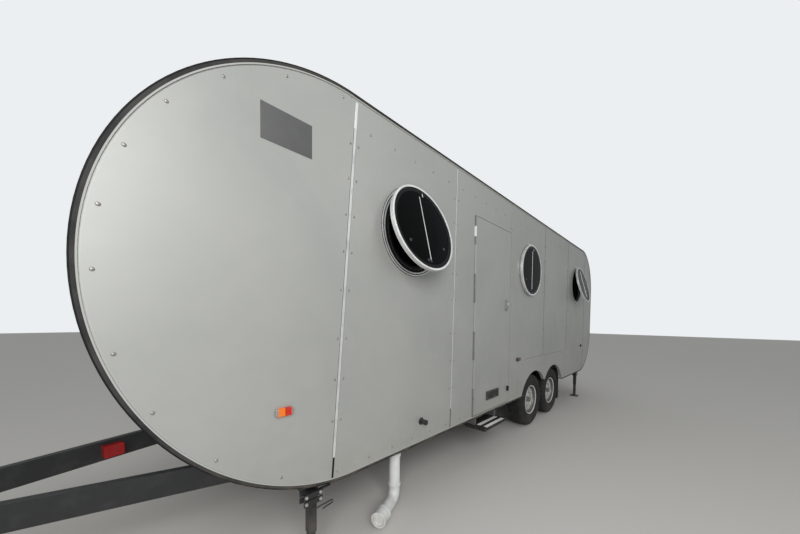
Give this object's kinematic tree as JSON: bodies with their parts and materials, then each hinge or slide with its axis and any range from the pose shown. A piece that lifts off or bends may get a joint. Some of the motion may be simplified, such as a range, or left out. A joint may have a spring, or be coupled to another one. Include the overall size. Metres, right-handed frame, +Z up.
{
  "type": "travel caravan",
  "caption": "Two-axle travel caravan with a round nose, flat satin composite sides, six top-hung portholes, a side door and a black A-frame drawbar.",
  "frame": {"origin": "middle of the bounding box on the ground, between nose coupling and rear end", "axes": "+X towards the coupling, +Y towards the door side, +Z up"},
  "size_m": [9.342, 2.8216, 3.037],
  "materials": {
    "wall_skin": "satin composite sheet",
    "dark_trim": "matt",
    "floor_board": "sealed board",
    "chassis_black": "satin enamel",
    "galvanised": "dull zinc",
    "spring_steel": "black oxide",
    "tyre_rubber": "matt",
    "wheel_silver": "satin",
    "bright_alloy": "polished",
    "tinted_glass": "clear dark tint",
    "hinge_steel": "brushed",
    "lock_grey": "satin",
    "vent_grey": "matt",
    "flap_rubber": "matt",
    "pipe_white": "weathered",
    "inlet_black": "matt",
    "lamp_amber": "clear lens",
    "lamp_red": "clear lens",
    "step_alloy": "tread plate"
  },
  "bodies": {
    "van": {"side_wall_left": "wall_skin", "side_wall_right": "wall_skin", "nose_shell": "wall_skin", "roof": "wall_skin", "rear_shell": "wall_skin", "floor": "floor_board", "wheel_boxes": "galvanised", "mudflaps": "flap_rubber", "edge_trims": "dark_trim", "porthole_rings": "bright_alloy", "door_hinge": "hinge_steel", "axles": "chassis_black", "leaf_springs": "spring_steel", "spring_hangers": "chassis_black", "chassis_rails": "chassis_black", "cross_members": "chassis_black", "drawbar": "chassis_black", "coupling": "galvanised", "chain_lugs": "galvanised", "steady_sleeves": "chassis_black", "jockey_clamp": "galvanised", "step_runners": "galvanised", "waste_pipe": "pipe_white", "water_inlet": "inlet_black", "marker_lamps": "lamp_amber", "rear_bumper": "chassis_black", "tail_lamps": "lamp_red", "drawbar_lamp": "lamp_red"},
    "wheel_left_1": {"tyre_left_1": "tyre_rubber", "rim_left_1": "wheel_silver"},
    "wheel_left_2": {"tyre_left_2": "tyre_rubber", "rim_left_2": "wheel_silver"},
    "sash_left_1": {"sash_rim_left_1": "bright_alloy", "sash_glass_left_1": "tinted_glass"},
    "sash_left_2": {"sash_rim_left_2": "bright_alloy", "sash_glass_left_2": "tinted_glass"},
    "sash_left_3": {"sash_rim_left_3": "bright_alloy", "sash_glass_left_3": "tinted_glass"},
    "steady_front_left": {"steady_leg_front_left": "chassis_black"},
    "steady_rear_left": {"steady_leg_rear_left": "chassis_black"},
    "wheel_right_1": {"tyre_right_1": "tyre_rubber", "rim_right_1": "wheel_silver"},
    "wheel_right_2": {"tyre_right_2": "tyre_rubber", "rim_right_2": "wheel_silver"},
    "sash_right_1": {"sash_rim_right_1": "bright_alloy", "sash_glass_right_1": "tinted_glass"},
    "sash_right_2": {"sash_rim_right_2": "bright_alloy", "sash_glass_right_2": "tinted_glass"},
    "sash_right_3": {"sash_rim_right_3": "bright_alloy", "sash_glass_right_3": "tinted_glass"},
    "steady_front_right": {"steady_leg_front_right": "chassis_black"},
    "steady_rear_right": {"steady_leg_rear_right": "chassis_black"},
    "door": {"door_leaf": "wall_skin", "door_vent": "vent_grey", "door_lock": "lock_grey"},
    "step": {"step_tread": "step_alloy"},
    "jockey_post": {"jockey_leg": "galvanised"},
    "jockey_swivel": {"jockey_fork": "galvanised"},
    "jockey_roller": {"jockey_wheel": "flap_rubber"}
  },
  "joints": [
    {"name": "wheel_left_1_spin", "type": "hinge", "parent": "van", "child": "wheel_left_1", "pos_m": [-1.308, 1.0525, 0.379], "axis": [0, 1, 0], "continuous": true},
    {"name": "wheel_left_2_spin", "type": "hinge", "parent": "van", "child": "wheel_left_2", "pos_m": [-2.158, 1.0525, 0.379], "axis": [0, 1, 0], "continuous": true},
    {"name": "sash_left_1_tilt", "type": "hinge", "parent": "van", "child": "sash_left_1", "pos_m": [1.427, 1.215, 2.621], "axis": [1, 0, 0], "range_deg": [-14, 46]},
    {"name": "sash_left_2_tilt", "type": "hinge", "parent": "van", "child": "sash_left_2", "pos_m": [-1.013, 1.215, 2.621], "axis": [1, 0, 0], "range_deg": [0, 60]},
    {"name": "sash_left_3_tilt", "type": "hinge", "parent": "van", "child": "sash_left_3", "pos_m": [-3.453, 1.215, 2.621], "axis": [1, 0, 0], "range_deg": [-14, 46]},
    {"name": "steady_front_left_lift", "type": "slide", "parent": "van", "child": "steady_front_left", "axis": [0, 0, 1], "range_m": [0, 0.18]},
    {"name": "steady_rear_left_lift", "type": "slide", "parent": "van", "child": "steady_rear_left", "axis": [0, 0, 1], "range_m": [0, 0.18]},
    {"name": "wheel_right_1_spin", "type": "hinge", "parent": "van", "child": "wheel_right_1", "pos_m": [-1.308, -1.0525, 0.379], "axis": [0, 1, 0], "continuous": true},
    {"name": "wheel_right_2_spin", "type": "hinge", "parent": "van", "child": "wheel_right_2", "pos_m": [-2.158, -1.0525, 0.379], "axis": [0, 1, 0], "continuous": true},
    {"name": "sash_right_1_tilt", "type": "hinge", "parent": "van", "child": "sash_right_1", "pos_m": [1.427, -1.215, 2.621], "axis": [-1, 0, 0], "range_deg": [-14, 46]},
    {"name": "sash_right_2_tilt", "type": "hinge", "parent": "van", "child": "sash_right_2", "pos_m": [-1.013, -1.215, 2.621], "axis": [-1, 0, 0], "range_deg": [0, 60]},
    {"name": "sash_right_3_tilt", "type": "hinge", "parent": "van", "child": "sash_right_3", "pos_m": [-3.453, -1.215, 2.621], "axis": [-1, 0, 0], "range_deg": [-14, 46]},
    {"name": "steady_front_right_lift", "type": "slide", "parent": "van", "child": "steady_front_right", "axis": [0, 0, 1], "range_m": [0, 0.18]},
    {"name": "steady_rear_right_lift", "type": "slide", "parent": "van", "child": "steady_rear_right", "axis": [0, 0, 1], "range_m": [0, 0.18]},
    {"name": "door_swing", "type": "hinge", "parent": "van", "child": "door", "pos_m": [0.4615, 1.206, 1.6], "axis": [0, 0, -1], "range_deg": [0, 100]},
    {"name": "step_pull", "type": "slide", "parent": "van", "child": "step", "axis": [0, 1, 0], "range_m": [-0.23, 0]},
    {"name": "jockey_lift", "type": "slide", "parent": "van", "child": "jockey_post", "axis": [0, 0, 1], "range_m": [0, 0.16]},
    {"name": "jockey_steer", "type": "hinge", "parent": "jockey_post", "child": "jockey_swivel", "pos_m": [4.241, 0.18836, 0.22], "axis": [0, 0, 1], "continuous": true},
    {"name": "jockey_roll", "type": "hinge", "parent": "jockey_swivel", "child": "jockey_roller", "pos_m": [4.196, 0.18836, 0.1], "axis": [0, 1, 0], "continuous": true}
  ]
}
